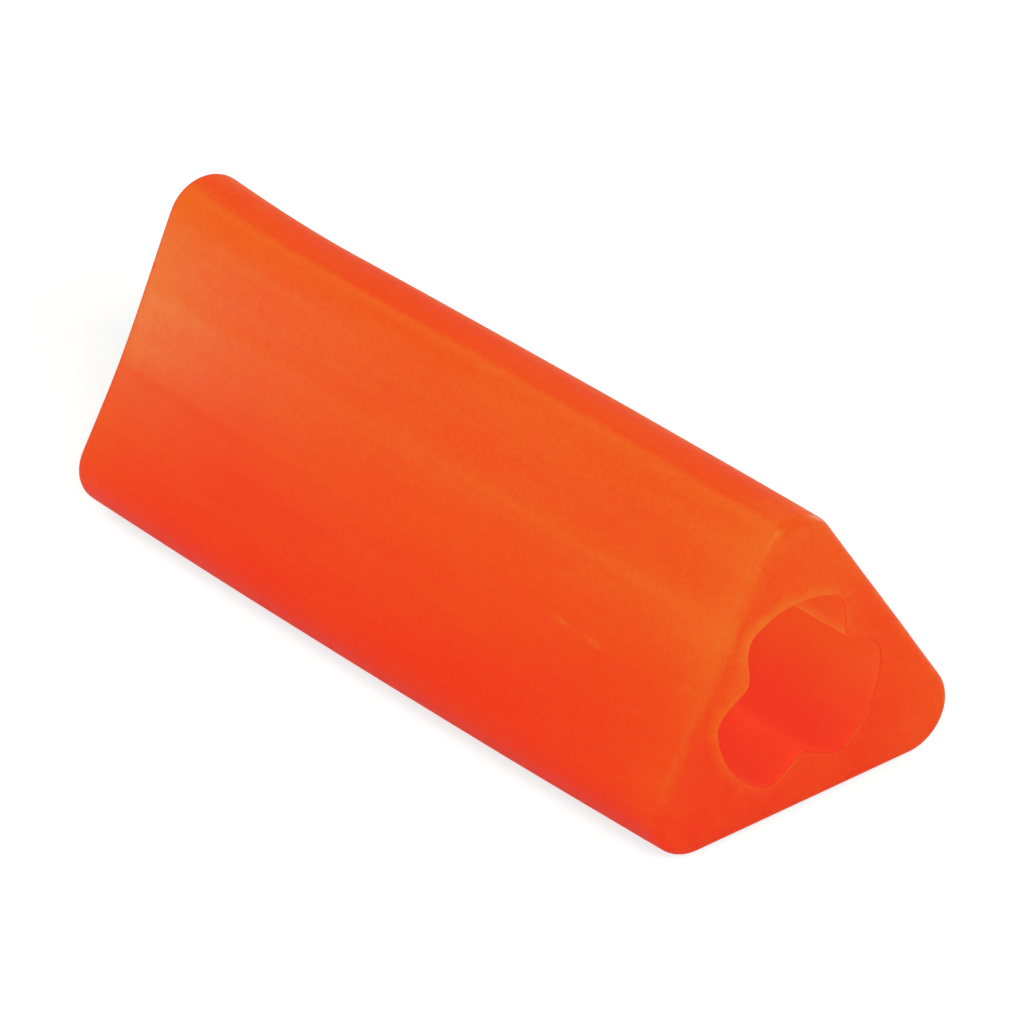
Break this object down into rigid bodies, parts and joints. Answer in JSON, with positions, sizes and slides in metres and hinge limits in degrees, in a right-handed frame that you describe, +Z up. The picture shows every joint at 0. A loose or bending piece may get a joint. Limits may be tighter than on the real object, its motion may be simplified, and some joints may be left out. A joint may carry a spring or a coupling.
{
  "type": "triangular pencil grip",
  "caption": "Soft triangular sleeve with rounded edges and a ribbed lengthwise bore that slides over a pencil and gives each finger a flat side to press on.",
  "frame": {"origin": "centre of volume of the sleeve, on the axis of the bore half way along it", "axes": "+Y along the bore, +Z up towards the ridge between the two upper sides, +X across the flat side that faces down"},
  "size_m": [0.0146, 0.038, 0.0132],
  "materials": {
    "soft_vinyl": "satin"
  },
  "bodies": {
    "root": {"grip_sleeve": "soft_vinyl"}
  },
  "joints": []
}
